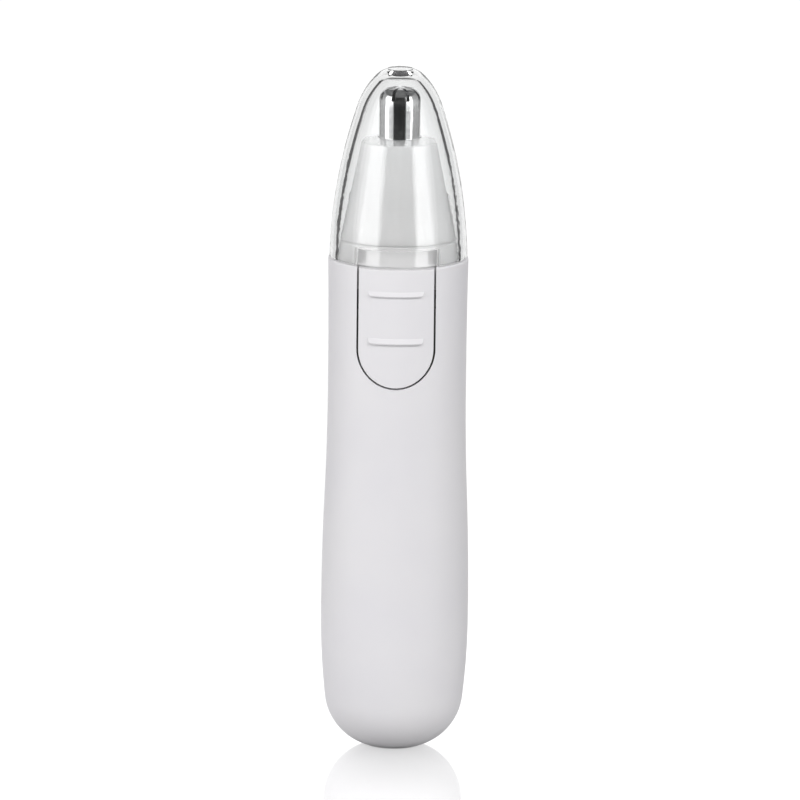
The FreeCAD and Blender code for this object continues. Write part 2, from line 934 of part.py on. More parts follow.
def battery_wrap():
    outside = dim.cell_radius + dim.wrap_thick
    low = dim.battery_bottom + dim.wrap_margin
    return tube("wrap_body", dim.cell_radius, outside, low, dim.battery_top - dim.wrap_margin)


def battery_spring():
    low = dim.frame_bottom + dim.frame_floor + dim.strip_thick
    radius = dim.battery_spring_radius
    wire = dim.battery_spring_wire
    return coil("spring_body", radius, low, dim.battery_bottom, BATTERY_SPRING_TURNS, wire)


def negative_strip():
    """A disc under the battery spring, with a strip up the tray to the switch."""
    low = dim.frame_bottom + dim.frame_floor
    high = low + dim.strip_thick
    disc = post("strip_disc", dim.disc_radius, low, high)
    left = -dim.strip_outer
    right = -dim.strip_inner
    back = dim.strip_thick - dim.strip_face
    foot = box("strip_foot", (left, -dim.strip_face, low), (right, -dim.strip_inner, high))
    riser = box("strip_riser", (left, -dim.strip_face, low), (right, back, dim.strip_top))
    return fused("negative_body", disc, foot, riser)


def positive_contact():
    """A plate over the battery's nub, with a tab through the bulkhead to the motor."""
    plate = box(
        "positive_plate",
        (-dim.plate_half, -dim.plate_front, dim.nub_top),
        (dim.plate_half, dim.plate_back, dim.bulkhead),
    )
    tab = box(
        "positive_tab",
        (-dim.tab_half, dim.terminal_outer, dim.nub_top),
        (dim.tab_half, dim.tab_back, dim.tab_top),
    )
    return fused("positive_body", plate, tab)


def motor_strip():
    """The strip from the switch to the motor. Its raised end is the on position."""
    low = dim.terminal_bottom
    left = dim.strip_inner
    right = dim.strip_outer
    face = -dim.strip_face
    recessed = face + dim.strip_recess
    raised = dim.strip_raised
    thick = dim.strip_thick
    foot = box("motor_foot", (left, recessed, low), (right, -dim.terminal_outer, low + thick))
    riser = box("motor_riser", (left, recessed, low), (right, recessed + thick * 0.5, raised))
    end = box("motor_end", (left, face, raised), (right, face + thick, dim.strip_top))
    return fused("motor_strip_body", foot, riser, end)


# ---------------------------------------------------------------- motor


def motor_can():
    inside = dim.motor_radius - dim.motor_wall
    ceiling = dim.motor_top - dim.motor_wall
    corners = [
        (inside, dim.motor_bottom),
        (dim.motor_radius, dim.motor_bottom),
        (dim.motor_radius, dim.motor_top),
        (dim.neck_radius, dim.motor_top),
        (dim.neck_radius, dim.neck_top),
        (dim.bush_radius, dim.neck_top),
        (dim.bush_radius, ceiling),
        (inside, ceiling),
    ]
    return turned("can_body", corners)


def motor_magnets():
    outside = dim.motor_radius - dim.motor_wall
    ring = tube("magnet_ring", dim.magnet_inside, outside, dim.magnet_bottom, dim.magnet_top)
    split = dim.magnet_split
    low = (-FAR, -split, dim.magnet_bottom)
    return cut("magnet_pair", ring, box("magnet_gap", low, (FAR, split, dim.magnet_top)))


def motor_end_cap():
    bore = dim.shaft_radius + dim.running_gap
    plug = dim.motor_radius - dim.motor_wall - dim.running_gap
    corners = [
        (bore, dim.bearing_bottom),
        (dim.bearing_radius, dim.bearing_bottom),
        (dim.bearing_radius, dim.motor_cap_bottom),
        (dim.motor_radius, dim.motor_cap_bottom),
        (dim.motor_radius, dim.motor_bottom),
        (plug, dim.motor_bottom),
        (plug, dim.motor_plug_top),
        (bore, dim.motor_plug_top),
    ]
    return turned("end_cap_body", corners)


def motor_bush():
    bore = dim.shaft_radius + dim.running_gap
    return tube("bush_body", bore, dim.bush_radius, dim.bush_bottom, dim.neck_top)


def mirrored_boxes(name, low, high):
    """A box and its twin on the other side of the Z axis."""
    first = box(name, low, high)
    other_low = (-high[0], -high[1], low[2])
    other_high = (-low[0], -low[1], high[2])
    return together(name + "_pair", first, box(name, other_low, other_high))


def motor_terminals():
    low = (-dim.terminal_half, dim.terminal_inner, dim.terminal_bottom)
    high = (dim.terminal_half, dim.terminal_outer, dim.motor_cap_bottom)
    return mirrored_boxes("terminal", low, high)


def motor_brushes():
    inner = dim.commutator_radius + dim.running_gap
    low = (inner, -dim.brush_half, dim.motor_plug_top)
    high = (inner + dim.brush_thick, dim.brush_half, dim.brush_top)
    return mirrored_boxes("brush", low, high)


def motor_shaft():
    return post("shaft_body", dim.shaft_radius, dim.shaft_bottom, dim.shaft_top)


def motor_commutator():
    outside = dim.commutator_radius
    low = dim.commutator_bottom
    return tube("commutator_body", dim.shaft_radius, outside, low, dim.commutator_top)


def motor_armature():
    """A laminated iron core with a wound slot between each pair of poles."""
    low = dim.armature_bottom
    high = dim.armature_top
    corners = rectangle(dim.shaft_radius, dim.armature_radius, low, high)
    body = turned("armature_body", corners)
    hole = pocket_up(body, low, high, circle=(dim.pole_circle, 0.0, dim.pole_hole))
    half = dim.pole_slot * 0.5
    mouth_corners = rectangle(dim.pole_circle, dim.armature_radius + PAST, -half, half)
    mouth = pocket_up(body, low, high, corners=mouth_corners)
    ring_pattern(body, [hole, mouth], MOTOR_POLES)
    return body


def motor_windings():
    """Copper through the armature's slots, joined by a ring at each end."""
    low = dim.armature_bottom
    high = dim.armature_top
    inside = dim.winding_inside
    outside = dim.winding_outside
    parts = [
        tube("winding_low", inside, outside, low - dim.winding_ring, low),
        tube("winding_high", inside, outside, high, high + dim.winding_ring),
    ]
    for pole in range(MOTOR_POLES):
        turn = 2 * math.pi * pole / MOTOR_POLES
        x = dim.pole_circle * math.cos(turn)
        y = dim.pole_circle * math.sin(turn)
        parts.append(post("winding_leg", dim.winding_radius, low, high, x, y))
    return fused("windings_body", *parts)


# ---------------------------------------------------------------- drive and blade


def drive_coupler():
    """A plastic sleeve on the motor's shaft, with a hexagonal socket for the blade holder."""
    corners = [
        (dim.shaft_radius, dim.coupler_bottom),
        (dim.coupler_radius, dim.coupler_bottom),
        (dim.coupler_radius, dim.flange_bottom),
        (dim.flange_radius, dim.flange_bottom),
        (dim.flange_radius, dim.spring_seat),
        (dim.coupler_radius, dim.spring_seat),
        (dim.coupler_radius, dim.coupler_top),
        (0.0, dim.coupler_top),
        (0.0, dim.spring_seat),
        (dim.shaft_radius, dim.spring_seat),
    ]
    body = turned("coupler_body", corners)
    socket = hexagon(dim.hex_size + dim.fit_gap)
    pocket_up(body, dim.socket_bottom, dim.coupler_top, corners=socket)
    return body


def blade_spring():
    """The spring that presses the inner cutter up against the outer one."""
    radius = dim.blade_spring_radius
    wire = dim.blade_spring_wire
    low = dim.spring_seat
    return coil("blade_spring_body", radius, low, dim.spring_top, BLADE_SPRING_TURNS, wire)


def blade_holder():
    corners = [
        (0.0, dim.shank_top),
        (dim.holder_radius, dim.shank_top),
        (dim.holder_radius, dim.spring_top),
        (dim.holder_flange, dim.spring_top),
        (dim.holder_flange, dim.holder_flange_top),
        (dim.holder_radius, dim.holder_flange_top),
        (dim.holder_radius, dim.holder_top),
        (dim.shaft_radius, dim.holder_top),
        (dim.shaft_radius, dim.blade_peg_top),
        (0.0, dim.blade_peg_top),
    ]
    body = turned("holder_body", corners)
    sketch = add_sketch(body, XY, dim.shank_bottom)
    draw_outline(sketch, hexagon(dim.hex_size))
    extrude(body, "PartDesign::Pad", sketch, dim.shank_top - dim.shank_bottom)
    return body


def inner_cutter():
    """Two crossed steel blades with a domed top, on a small hub."""
    low = dim.holder_top
    radius = dim.blade_radius
    corner = dim.blade_corner
    dome = turned(
        "blade_dome",
        [
            (0.0, low),
            (radius, low),
            (radius, dim.blade_top - corner, corner),
            (radius - corner, dim.blade_top),
            (0.0, dim.blade_top),
        ],
    )
    half = dim.blade_thick * 0.5
    first = box("blade", (-FAR, -half, low), (FAR, half, dim.blade_top))
    second = box("blade", (-half, -FAR, low), (half, FAR, dim.blade_top))
    blades = common("blades", fused("blade_cross", first, second), dome)
    hub = post("blade_hub", dim.hub_radius, low, low + dim.hub_height)
    hole = post("blade_hole", dim.shaft_radius, low - PAST, dim.blade_peg_top)
    return cut("inner_cutter_body", fused("blade_blank", blades, hub), hole)


# ---------------------------------------------------------------- head


def finger_flat(side):
    """What is cut off one side of the cone so that two fingers can grip it."""
    body = doc.addObject("PartDesign::Body", "finger_flat")
    sketch = add_sketch(body, XZ, -FAR)
    above = dim.head_top + PAST
    corners = [
        (dim.head_radius * side, dim.flat_start),
        (dim.head_radius * side, above),
        (dim.flat_top_half * side, above),
        (dim.flat_bottom_half * side, dim.flat_bottom, dim.flat_curve * side),
        (dim.flat_start_half * side, dim.flat_start),
    ]
    draw_outline(sketch, corners)
    extrude(body, "PartDesign::Pad", sketch, FAR * 2)
    return body


def head_cover():
    """The white cone that holds the outer cutter and plugs into the collar."""
    flats = [finger_flat(side) for side in (-1, 1)]
    corners = [
        (dim.plug_radius, dim.plug_bottom),
        (dim.plug_radius, dim.collar_top),
        (dim.head_radius, dim.collar_top),
        (dim.head_top_radius, dim.head_top - dim.head_round, dim.head_round),
        (dim.head_top_radius - dim.head_round, dim.head_top),
        (dim.head_hole, dim.head_crown),
        (dim.head_hole, dim.pocket_top),
        (dim.pocket_radius, dim.pocket_top),
        (dim.pocket_radius, dim.pocket_bottom),
        (dim.head_cone_inside, dim.head_cone_top),
        (dim.plug_inside, dim.head_cone_bottom),
        (dim.plug_inside, dim.plug_bottom),
    ]
    return cut("head_body", turned("head_cone", corners), *flats)


def cutter_shell():
    """The steel outer cutter: a thin domed tube with slots that hairs enter."""
    outer = dim.cutter_radius
    inner = outer - dim.cutter_wall
    flange_low = dim.pocket_top - dim.cutter_wall
    top = dim.cutter_top
    ceiling = top - dim.cutter_wall
    corner = dim.cutter_corner
    inner_corner = corner - dim.cutter_wall
    corners = [
        (inner, flange_low),
        (dim.cutter_flange, flange_low),
        (dim.cutter_flange, dim.pocket_top),
        (outer, dim.pocket_top),
        (outer, top - corner, corner),
        (outer - corner, top),
        (0.0, top),
        (0.0, ceiling),
        (inner - inner_corner, ceiling, -inner_corner),
        (inner, ceiling - inner_corner),
    ]
    body = turned("cutter_body", corners)
    half = dim.cutter_slot * 0.5
    slot_corners = rectangle(dim.cutter_eye, outer + PAST, -half, half)
    slot = pocket_up(body, dim.cutter_slot_bottom, top + PAST, corners=slot_corners)
    ring_pattern(body, [slot], CUTTER_SLOTS)
    body.Placement.Rotation = FreeCAD.Rotation(FreeCAD.Vector(0, 0, 1), 0)
    bind(body, "Placement.Rotation.Angle", dim.cutter_turn)
    return body


def cutter_retainer():
    """The ring that holds the outer cutter's flange against the head."""
    high = dim.pocket_top - dim.cutter_wall
    inside = dim.retainer_inside
    return tube("retainer_body", inside, dim.pocket_radius, dim.retainer_bottom, high)


def clear_cap():
    """The bullet-shaped cap, notched at the front so that the switch can slide up."""
    outside = [
        (dim.cap_radius, dim.cap_bottom, dim.cap_side_curve),
        (dim.cap_shoulder_radius, dim.cap_shoulder, dim.cap_shoulder_curve),
        (dim.cap_crown_radius, dim.cap_crown, dim.cap_crown_curve),
        (dim.cap_tip_radius, dim.cap_tip),
        (dim.cap_tip_radius, dim.cap_height),
        (0.0, dim.cap_height),
    ]
    inside = [
        (0.0, dim.cap_ceiling),
        (dim.cap_ceiling_radius, dim.cap_ceiling, dim.cap_wall - dim.cap_crown_curve),
        (dim.cap_inner_crown_radius, dim.cap_inner_crown, dim.cap_wall - dim.cap_shoulder_curve),
        (
            dim.cap_inner_shoulder_radius,
            dim.cap_inner_shoulder,
            dim.cap_wall - dim.cap_side_curve,
        ),
        (dim.cap_mouth_radius, dim.cap_bottom),
    ]
    shell = turned("cap_shell", outside + inside)
    low = (-dim.notch_half, -FAR, dim.cap_bottom - PAST)
    notch = box("cap_notch", low, (dim.notch_half, 0.0, dim.notch_top))
    return cut("cap_body", shell, notch)


# ---------------------------------------------------------------- every sub-part

MAKERS = [
    front_shell,
    back_shell,
    battery_door,
    shell_screws,
    neck_collar,
    shaft_seal,
    inner_frame,
    switch_button,
    switch_slider,
    switch_contact,
    battery_cell,
    battery_wrap,
    battery_spring,
    negative_strip,
    positive_contact,
    motor_strip,
    motor_can,
    motor_magnets,
    motor_end_cap,
    motor_bush,
    motor_terminals,
    motor_brushes,
    motor_shaft,
    motor_commutator,
    motor_armature,
    motor_windings,
    drive_coupler,
    blade_spring,
    blade_holder,
    inner_cutter,
    head_cover,
    cutter_shell,
    cutter_retainer,
    clear_cap,
]


def make_pieces():
    """Makes every sub-part and labels it with its maker's name."""
    pieces = []
    for maker in MAKERS:
        piece = maker()
        piece.Label = maker.__name__
        pieces.append(piece)
    doc.recompute()
    return pieces


def check(pieces):
    """Stops before anything is written if any object failed."""
    for thing in doc.Objects:
        if "Invalid" in thing.State or "Error" in thing.State:
            raise RuntimeError(f"{thing.Label} failed: {thing.State}")
    for piece, maker in zip(pieces, MAKERS):
        if piece.Label != maker.__name__:
            raise RuntimeError(f"the label {maker.__name__} was already taken")
        if piece.Shape.isNull() or not piece.Shape.isValid() or piece.Shape.Volume <= 0:
            raise RuntimeError(f"{piece.Label} has no valid solid")


def write(pieces):
    os.makedirs("parts", exist_ok=True)
    for piece in pieces:
        piece.Shape.exportStep(f"parts/{piece.Label}.step")
        count = len(piece.Shape.Solids)
        print(f"{piece.Label}: {count} solid(s), {piece.Shape.Volume:.2f} cubic mm")


all_pieces = make_pieces()
check(all_pieces)
write(all_pieces)
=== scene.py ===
import json
import math

import bmesh
import bpy
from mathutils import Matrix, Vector


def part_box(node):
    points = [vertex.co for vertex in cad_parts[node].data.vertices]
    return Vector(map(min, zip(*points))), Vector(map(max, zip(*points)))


# The looks of a nose hair trimmer that stands on a pale glossy floor.
# Lengths are in millimetres in the constants and in metres in the meshes.

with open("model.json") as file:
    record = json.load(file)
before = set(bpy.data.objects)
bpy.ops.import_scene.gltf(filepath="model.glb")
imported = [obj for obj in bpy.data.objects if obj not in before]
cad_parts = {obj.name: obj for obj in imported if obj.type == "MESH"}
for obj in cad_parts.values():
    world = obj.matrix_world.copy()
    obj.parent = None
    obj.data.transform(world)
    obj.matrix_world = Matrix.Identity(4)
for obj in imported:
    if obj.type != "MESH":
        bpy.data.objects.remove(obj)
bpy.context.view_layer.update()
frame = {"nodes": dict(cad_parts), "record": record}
nodes = frame["nodes"]

MM = 0.001


# ---------------------------------------------------------------- materials

PLASTIC_IOR = 1.5
COAT_ROUGHNESS = 0.07
COAT_IOR = 1.64
MILKY_DEPTH = 0.006  # how far light travels inside milky plastic, in metres
TURNED = (0.02, 0.02, 1)  # marks run round the Z axis
DRAWN = (1, 1, 0.05)  # marks run along the Z axis
NOISE_RANGE = (0.3, 0.7)  # noise seldom leaves this range
MIX_FIRST = 6  # the colour sockets of a Mix node
MIX_SECOND = 7
MIX_RESULT = 2
CLEAR_SHADOW = 0.93  # the share of light that passes clear plastic on its way to what it covers
NOTCH_HALF = 8.1  # the notch in the cap: half its width, and the height of its top
NOTCH_TOP = 104.6
NOTCH_SLACK = 0.04  # a face this near to the notch's side belongs to it
NOTCH_FROST = 0.75
SLEEVE_BAND = (0.71, 0.75)  # the bright line on the battery, as shares of its film's height
SHARP_ANGLE = 30.0  # in degrees
FACE_WEIGHT = 100  # large faces keep their own normals, so flat glints stay straight


def new_material(name):
    """An empty material, its node tree and its main shader."""
    material = bpy.data.materials.new(name)
    material.use_nodes = True
    tree = material.node_tree
    shader = tree.nodes["Principled BSDF"]
    return material, tree, shader


def place_coords(tree, stretch=(1, 1, 1)):
    """Coordinates in metres in the object's frame, times stretch along each axis."""
    coords = tree.nodes.new("ShaderNodeTexCoord")
    mapping = tree.nodes.new("ShaderNodeMapping")
    mapping.inputs["Scale"].default_value = stretch
    tree.links.new(coords.outputs["Object"], mapping.inputs["Vector"])
    return mapping.outputs["Vector"]


def noise(tree, vector, scale, detail=3.0, roughness=0.5):
    """Soft noise whose grains are one over scale, in metres, across."""
    texture = tree.nodes.new("ShaderNodeTexNoise")
    texture.inputs["Scale"].default_value = scale
    texture.inputs["Detail"].default_value = detail
    texture.inputs["Roughness"].default_value = roughness
    tree.links.new(vector, texture.inputs["Vector"])
    return texture.outputs["Fac"]


def spread(tree, source, low, high):
    """Maps noise round its middle onto low to high."""
    ranged = tree.nodes.new("ShaderNodeMapRange")
    ranged.inputs["From Min"].default_value = NOISE_RANGE[0]
    ranged.inputs["From Max"].default_value = NOISE_RANGE[1]
    ranged.inputs["To Min"].default_value = low
    ranged.inputs["To Max"].default_value = high
    tree.links.new(source, ranged.inputs["Value"])
    return ranged.outputs["Result"]


def map_value(tree, source, low, high):
    """Maps a value from the range low to high onto 0 to 1."""
    ranged = tree.nodes.new("ShaderNodeMapRange")
    ranged.inputs["From Min"].default_value = low
    ranged.inputs["From Max"].default_value = high
    tree.links.new(source, ranged.inputs["Value"])
    return ranged.outputs["Result"]


def maths(tree, operation, first, second):
    """A maths node; the second value is a socket or a number."""
    node = tree.nodes.new("ShaderNodeMath")
    node.operation = operation
    tree.links.new(first, node.inputs[0])
    if isinstance(second, (int, float)):
        node.inputs[1].default_value = second
    else:
        tree.links.new(second, node.inputs[1])
    return node.outputs["Value"]


def colours(tree, factor, first, second):
    """Blends two colours by a factor."""
    mix = tree.nodes.new("ShaderNodeMix")
    mix.data_type = "RGBA"
    mix.inputs[MIX_FIRST].default_value = (*first, 1)
    mix.inputs[MIX_SECOND].default_value = (*second, 1)
    tree.links.new(factor, mix.inputs["Factor"])
    return mix.outputs[MIX_RESULT]


def add_bump(tree, shader, height, depth):
    """Tilts the surface by a height whose full swing is depth, in metres."""
    bump = tree.nodes.new("ShaderNodeBump")
    bump.inputs["Strength"].default_value = 1.0
    bump.inputs["Distance"].default_value = depth
    tree.links.new(height, bump.inputs["Height"])
    tree.links.new(bump.outputs["Normal"], shader.inputs["Normal"])


def plastic(name, first, second, rough, grain=2500, depth=0.000004, shine=0.5, coat=0.0, milky=0.0):
    """Moulded plastic: faint cloudiness, uneven gloss and a fine mould grain."""
    material, tree, shader = new_material(name)
    vector = place_coords(tree)
    cloud = noise(tree, vector, 45)
    tint = colours(tree, spread(tree, cloud, 0, 1), first, second)
    tree.links.new(tint, shader.inputs["Base Color"])
    wear = noise(tree, vector, 160, 4)
    gloss = spread(tree, wear, rough * 0.85, rough * 1.15)
    tree.links.new(gloss, shader.inputs["Roughness"])
    shader.inputs["IOR"].default_value = PLASTIC_IOR
    shader.inputs["Specular IOR Level"].default_value = shine
    shader.inputs["Coat Weight"].default_value = coat
    shader.inputs["Coat Roughness"].default_value = COAT_ROUGHNESS
    shader.inputs["Coat IOR"].default_value = COAT_IOR
    shader.inputs["Subsurface Weight"].default_value = milky
    shader.inputs["Subsurface Radius"].default_value = (1, 1, 1)
    shader.inputs["Subsurface Scale"].default_value = MILKY_DEPTH
    add_bump(tree, shader, noise(tree, vector, grain, 2), depth)
    return material


def metal(name, first, second, rough, stretch=(1, 1, 1), grain=900, depth=0.000002):
    """Bare metal with drawn or turned marks that run along the axes with the least stretch."""
    material, tree, shader = new_material(name)
    vector = place_coords(tree, stretch)
    marks = noise(tree, vector, grain, 4)
    tint = colours(tree, spread(tree, marks, 0, 1), first, second)
    tree.links.new(tint, shader.inputs["Base Color"])
    shader.inputs["Metallic"].default_value = 1.0
    tree.links.new(spread(tree, marks, rough * 0.7, rough * 1.3), shader.inputs["Roughness"])
    add_bump(tree, shader, marks, depth)
    return material


def notch_sides(tree, vector):
    """One on the two upright faces of the notch in the cap, nought elsewhere."""
    split = tree.nodes.new("ShaderNodeSeparateXYZ")
    tree.links.new(vector, split.inputs["Vector"])
    aside = maths(tree, "ABSOLUTE", split.outputs["X"], 0)
    off_face = maths(tree, "ABSOLUTE", maths(tree, "SUBTRACT", aside, NOTCH_HALF * MM), 0)
    on_face = maths(tree, "LESS_THAN", off_face, NOTCH_SLACK * MM)
    low = maths(tree, "LESS_THAN", split.outputs["Z"], (NOTCH_TOP + NOTCH_SLACK) * MM)
    front = maths(tree, "LESS_THAN", split.outputs["Y"], 0)
    return maths(tree, "MULTIPLY", maths(tree, "MULTIPLY", on_face, low), front)


def clear_plastic(name):
    """Clear polystyrene that lets light through to what it covers."""
    material, tree, shader = new_material(name)
    vector = place_coords(tree)
    cloud = noise(tree, vector, 60)
    tint = colours(tree, spread(tree, cloud, 0, 1), (0.97, 0.98, 0.98), (1.0, 1.0, 1.0))
    tree.links.new(tint, shader.inputs["Base Color"])
    haze = noise(tree, vector, 220, 4)
    tree.links.new(spread(tree, haze, 0.0, 0.03), shader.inputs["Roughness"])
    shader.inputs["IOR"].default_value = PLASTIC_IOR
    shader.inputs["Transmission Weight"].default_value = 1.0
    add_bump(tree, shader, noise(tree, vector, 70, 1), 0.00001)
    lights = tree.nodes.new("ShaderNodeLightPath")
    passing = tree.nodes.new("ShaderNodeBsdfTransparent")
    passing.inputs["Color"].default_value = (CLEAR_SHADOW,) * 3 + (1,)
    mix = tree.nodes.new("ShaderNodeMixShader")
    tree.links.new(lights.outputs["Is Shadow Ray"], mix.inputs["Fac"])
    tree.links.new(shader.outputs["BSDF"], mix.inputs[1])
    tree.links.new(passing.outputs["BSDF"], mix.inputs[2])
    frost = tree.nodes.new("ShaderNodeBsdfDiffuse")
    frost.inputs["Color"].default_value = (NOTCH_FROST,) * 3 + (1,)
    both = tree.nodes.new("ShaderNodeMixShader")
    tree.links.new(notch_sides(tree, vector), both.inputs["Fac"])
    tree.links.new(mix.outputs["Shader"], both.inputs[1])
    tree.links.new(frost.outputs["BSDF"], both.inputs[2])
    output = tree.nodes["Material Output"]
    tree.links.new(both.outputs["Shader"], output.inputs["Surface"])
    return material


def felt(name):
    """Pressed grey wool felt."""
    material, tree, shader = new_material(name)
    vector = place_coords(tree)
    fibres = noise(tree, vector, 3000, 8, 0.8)
    tint = colours(tree, spread(tree, fibres, 0, 1), (0.16, 0.16, 0.15), (0.34, 0.33, 0.31))
    tree.links.new(tint, shader.inputs["Base Color"])
    shader.inputs["Roughness"].default_value = 0.95
    shader.inputs["Sheen Weight"].default_value = 0.4
    add_bump(tree, shader, fibres, 0.0001)
    return material


def battery_sleeve(name):
    """Shrink film in two plain colours with a bright line between them."""
    material, tree, shader = new_material(name)
    vector = place_coords(tree)
    split = tree.nodes.new("ShaderNodeSeparateXYZ")
    tree.links.new(vector, split.inputs["Vector"])
    low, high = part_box("battery_wrap")
    height = tree.nodes.new("ShaderNodeMapRange")
    height.inputs["From Min"].default_value = low.z
    height.inputs["From Max"].default_value = high.z
    tree.links.new(split.outputs["Z"], height.inputs["Value"])
    ramp = tree.nodes.new("ShaderNodeValToRGB")
    ramp.color_ramp.interpolation = "CONSTANT"
    ramp.color_ramp.elements[0].color = (0.012, 0.05, 0.16, 1)
    ramp.color_ramp.elements[1].position = SLEEVE_BAND[1]
    ramp.color_ramp.elements[1].color = (0.55, 0.56, 0.58, 1)
    band = ramp.color_ramp.elements.new(SLEEVE_BAND[0])
    band.color = (0.7, 0.42, 0.1, 1)
    tree.links.new(height.outputs["Result"], ramp.inputs["Fac"])
    tree.links.new(ramp.outputs["Color"], shader.inputs["Base Color"])
    wrinkles = noise(tree, vector, 350, 4)
    tree.links.new(spread(tree, wrinkles, 0.18, 0.32), shader.inputs["Roughness"])
    add_bump(tree, shader, wrinkles, 0.00004)
    return material


def windings(name):
    """Enamelled copper wire wound side by side, with painted shade in the grooves between turns and
    a painted sheen on their crowns.
    """
    material, tree, shader = new_material(name)
    vector = place_coords(tree)
    turns = tree.nodes.new("ShaderNodeTexWave")
    turns.wave_type = "BANDS"
    turns.bands_direction = "DIAGONAL"
    turns.inputs["Scale"].default_value = 900
    turns.inputs["Distortion"].default_value = 1.5
    tree.links.new(vector, turns.inputs["Vector"])
    # painted shade and sheen: the colour is dark where the bumps dip between turns and bright on
    # their crowns
    tint = colours(tree, turns.outputs["Fac"], (0.22, 0.05, 0.015), (0.75, 0.28, 0.1))
    tree.links.new(tint, shader.inputs["Base Color"])
    shader.inputs["Metallic"].default_value = 1.0
    shader.inputs["Roughness"].default_value = 0.3
    add_bump(tree, shader, turns.outputs["Fac"], 0.0001)
    return material


# One material for each material slot of the record.
MATERIALS = {
    "shell_plastic": plastic(
        "shell_plastic", (0.67, 0.66, 0.685), (0.7, 0.69, 0.705), 0.45, shine=0.3
    ),
    "collar_plastic": plastic(
        "collar_plastic", (0.6, 0.6, 0.605), (0.63, 0.63, 0.63), 0.12, coat=1.0
    ),
    "head_plastic": plastic(
        "head_plastic", (0.6, 0.6, 0.605), (0.63, 0.63, 0.63), 0.12, coat=1.0, milky=0.6
    ),
    "clear_plastic": clear_plastic("clear_plastic"),
    "frame_plastic": plastic(
        "frame_plastic", (0.15, 0.15, 0.13), (0.18, 0.18, 0.155), 0.5, 1800, 0.00002
    ),
    "coupler_plastic": plastic(
        "coupler_plastic", (0.62, 0.6, 0.52), (0.7, 0.68, 0.6), 0.42, 1800, 0.00001
    ),
    "cutter_steel": metal("cutter_steel", (0.6, 0.6, 0.61), (0.7, 0.7, 0.7), 0.1, TURNED),
    "blade_steel": metal("blade_steel", (0.42, 0.42, 0.43), (0.56, 0.56, 0.57), 0.25, DRAWN),
    "zinc_steel": metal("zinc_steel", (0.5, 0.51, 0.53), (0.64, 0.64, 0.63), 0.3, TURNED),
    "spring_steel": metal("spring_steel", (0.38, 0.38, 0.4), (0.55, 0.55, 0.56), 0.22),
    "contact_metal": metal("contact_metal", (0.62, 0.55, 0.36), (0.78, 0.7, 0.5), 0.28, DRAWN),
    "bronze": metal("bronze", (0.35, 0.2, 0.08), (0.6, 0.38, 0.17), 0.45, grain=2500),
    "ferrite": plastic("ferrite", (0.015, 0.015, 0.017), (0.045, 0.045, 0.05), 0.6, 900, 0.00004),
    "core_iron": metal("core_iron", (0.12, 0.12, 0.13), (0.3, 0.3, 0.31), 0.4, TURNED),
    "copper": windings("copper"),
    "felt": felt("felt"),
    "battery_sleeve": battery_sleeve("battery_sleeve"),
}


def dress_cad_nodes():
    """Gives every CAD node its material and clean shading."""
    for part in frame["record"]["subparts"]:
        piece = nodes[part["node"]]
        piece.data.materials.clear()
        piece.data.materials.append(MATERIALS[part["material_slot"]])
        piece.data.shade_smooth()
        piece.data.set_sharp_from_angle(angle=math.radians(SHARP_ANGLE))
        level = piece.modifiers.new("level", "WEIGHTED_NORMAL")
        level.keep_sharp = True
        level.weight = FACE_WEIGHT


# ---------------------------------------------------------------- stage, light and camera

VIEW_TURN = 1.5  # the camera's angles, in degrees
VIEW_ELEVATION = 11.5
VIEW_ROLL = 0.64
VIEW_WIDTH = 162.2  # how much the picture takes in at the object
VIEW_SIDE = 0.66  # the point in the middle of the picture
VIEW_HEIGHT = 71.3
LENS = 800.0
SENSOR = 36.0
CLIP = (0.1, 20.0)  # in metres
FLOOR_RADIUS = 130.0
FLOOR_SIDES = 128
FLOOR_GLOW = 0.6
PAINTED_FOOT_SHADOW = (4.2, 5.6)  # a painted contact shadow: the glow that the camera sees fades under the foot between these radii
PAINTED_FOOT_SHADOW_FLOOR = 0.1  # and this share of it is left there
FOOT_DIM = (5.0, 20.0)  # the light that the floor casts on the object fades between these
FLOOR_CAST = 0.85  # that light's share of the glow, without the slope below
FLOOR_SLOPE = (-6.5, -3.0, 0.0)  # it grows towards the front left, per metre
FLOOR_GLOSS = 0.6


def floor_glow(tree, vector):
    """How strongly the floor shines, as the camera sees it and as it lights the object."""
    reach = tree.nodes.new("ShaderNodeVectorMath")
    reach.operation = "LENGTH"
    tree.links.new(vector, reach.inputs[0])
    # painted contact shadow: the glow that the camera sees darkens under the foot
    clear = map_value(tree, reach.outputs["Value"], *(radius * MM for radius in PAINTED_FOOT_SHADOW))
    seen = maths(tree, "MAXIMUM", clear, PAINTED_FOOT_SHADOW_FLOOR)
    far = map_value(tree, reach.outputs["Value"], *(radius * MM for radius in FOOT_DIM))
    slope = tree.nodes.new("ShaderNodeVectorMath")
    slope.operation = "DOT_PRODUCT"
    slope.inputs[1].default_value = FLOOR_SLOPE
    tree.links.new(vector, slope.inputs[0])
    lean = maths(tree, "MAXIMUM", maths(tree, "ADD", slope.outputs["Value"], FLOOR_CAST), 0)
    cast = maths(tree, "MULTIPLY", far, lean)
    path = tree.nodes.new("ShaderNodeLightPath")
    share = tree.nodes.new("ShaderNodeMix")
    tree.links.new(path.outputs["Is Camera Ray"], share.inputs["Factor"])
    tree.links.new(cast, share.inputs["A"])
    tree.links.new(seen, share.inputs["B"])
    return maths(tree, "MULTIPLY", share.outputs["Result"], FLOOR_GLOW)


